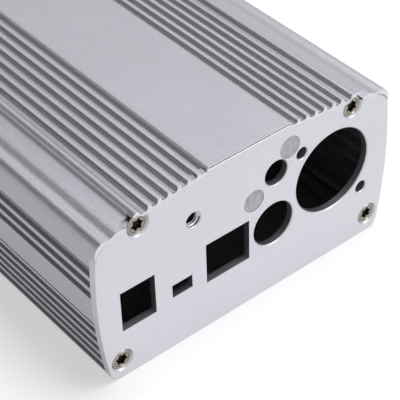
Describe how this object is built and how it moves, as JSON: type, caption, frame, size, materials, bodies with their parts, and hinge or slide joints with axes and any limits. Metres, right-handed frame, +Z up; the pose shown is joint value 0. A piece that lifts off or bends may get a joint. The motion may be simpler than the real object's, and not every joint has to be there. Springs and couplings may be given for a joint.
{
  "type": "extruded enclosure",
  "caption": "Finned aluminium extrusion with arched roof and bowed grooved sides, closed by screwed end panels; the front panel has round and square connector openings.",
  "frame": {"origin": "middle of the underside", "axes": "+X across, to the right seen from the front; +Y from the front panel to the rear; +Z up"},
  "size_m": [0.092, 0.15, 0.0505],
  "materials": {
    "satin_aluminium_body": "fine satin, clear anodised extrusion",
    "satin_aluminium_panel": "fine bead-blasted satin, clear anodised plate",
    "steel_screw": "plain machined steel",
    "frosted_light_pipe": "frosted translucent grey-white"
  },
  "bodies": {
    "root": {"housing": "satin_aluminium_body", "front_panel": "satin_aluminium_panel", "rear_panel": "satin_aluminium_panel", "front_screws": "steel_screw", "rear_screws": "steel_screw", "upper_light_pipe": "frosted_light_pipe", "lower_light_pipe": "frosted_light_pipe"}
  },
  "joints": []
}
